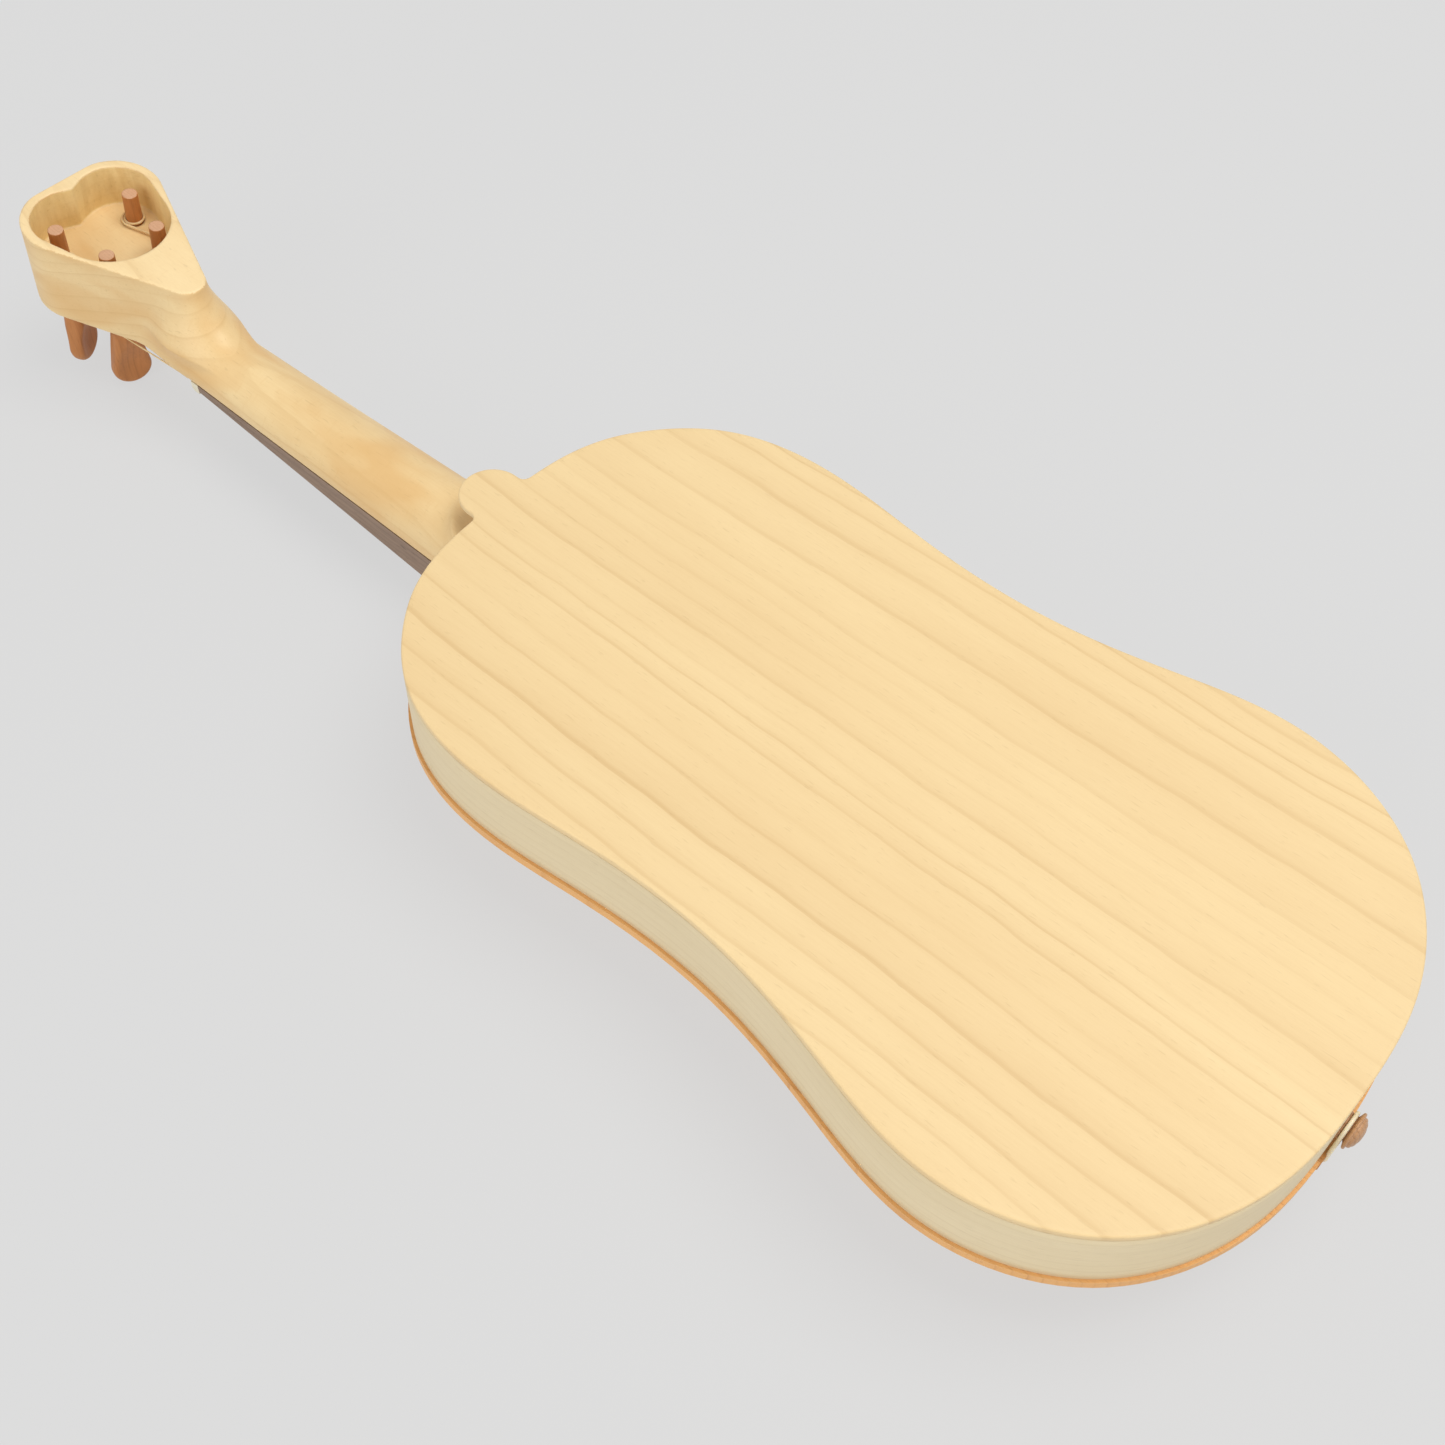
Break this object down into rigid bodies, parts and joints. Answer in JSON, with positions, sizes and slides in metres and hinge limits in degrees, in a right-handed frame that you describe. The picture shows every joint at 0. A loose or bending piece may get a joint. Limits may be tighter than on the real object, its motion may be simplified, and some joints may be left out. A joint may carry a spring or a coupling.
{
  "type": "medieval fiddle",
  "caption": "Waisted flat-backed bowed fiddle lying face down, with a heart-shaped pegbox open at the back, turning frontal pegs and gut strings.",
  "frame": {"origin": "middle of the bounding box, on the level that the bridge's top and the peg heads rest on when the fiddle lies face down", "axes": "+X from the end button toward the head, +Y across the body, +Z out of the flat back"},
  "size_m": [0.6642, 0.2266, 0.0847],
  "materials": {
    "back_wood": "satin",
    "rib_wood": "satin",
    "top_wood": "satin",
    "neck_wood": "satin",
    "board_wood": "satin",
    "peg_wood": "polished",
    "button_wood": "polished",
    "dark_wood": "satin",
    "bridge_wood": "satin",
    "inner_wood": "raw",
    "bone": "satin",
    "gut": "satin"
  },
  "bodies": {
    "instrument": {"back_plate": "back_wood", "rib_left": "rib_wood", "rib_right": "rib_wood", "top_plate": "top_wood", "neck": "neck_wood", "fingerboard": "board_wood", "nut": "bone", "saddle": "dark_wood", "end_button": "button_wood", "tailpiece": "dark_wood", "tail_gut": "gut", "bridge": "bridge_wood", "lining_back_left": "inner_wood", "lining_back_right": "inner_wood", "lining_top_left": "inner_wood", "lining_top_right": "inner_wood", "back_brace_1": "inner_wood", "back_brace_2": "inner_wood", "back_brace_3": "inner_wood", "end_block": "inner_wood", "neck_block": "inner_wood", "neck_dowel": "inner_wood", "bass_bar": "inner_wood", "sound_post": "inner_wood", "string_1": "gut", "string_2": "gut", "string_3": "gut", "string_4": "gut"},
    "tuning_peg_1": {"peg_1": "peg_wood", "string_winding_1": "gut"},
    "tuning_peg_2": {"peg_2": "peg_wood", "string_winding_2": "gut"},
    "tuning_peg_3": {"peg_3": "peg_wood", "string_winding_3": "gut"},
    "tuning_peg_4": {"peg_4": "peg_wood", "string_winding_4": "gut"}
  },
  "joints": [
    {"name": "peg_1_turn", "type": "hinge", "parent": "instrument", "child": "tuning_peg_1", "pos_m": [0.30781, -0.0197, 0.08228], "axis": [-0.112, 0, 0.9937], "continuous": true},
    {"name": "peg_2_turn", "type": "hinge", "parent": "instrument", "child": "tuning_peg_2", "pos_m": [0.28157, -0.0135, 0.07933], "axis": [-0.112, 0, 0.9937], "continuous": true},
    {"name": "peg_3_turn", "type": "hinge", "parent": "instrument", "child": "tuning_peg_3", "pos_m": [0.28157, 0.0135, 0.07933], "axis": [-0.112, 0, 0.9937], "continuous": true},
    {"name": "peg_4_turn", "type": "hinge", "parent": "instrument", "child": "tuning_peg_4", "pos_m": [0.30781, 0.0197, 0.08228], "axis": [-0.112, 0, 0.9937], "continuous": true}
  ]
}
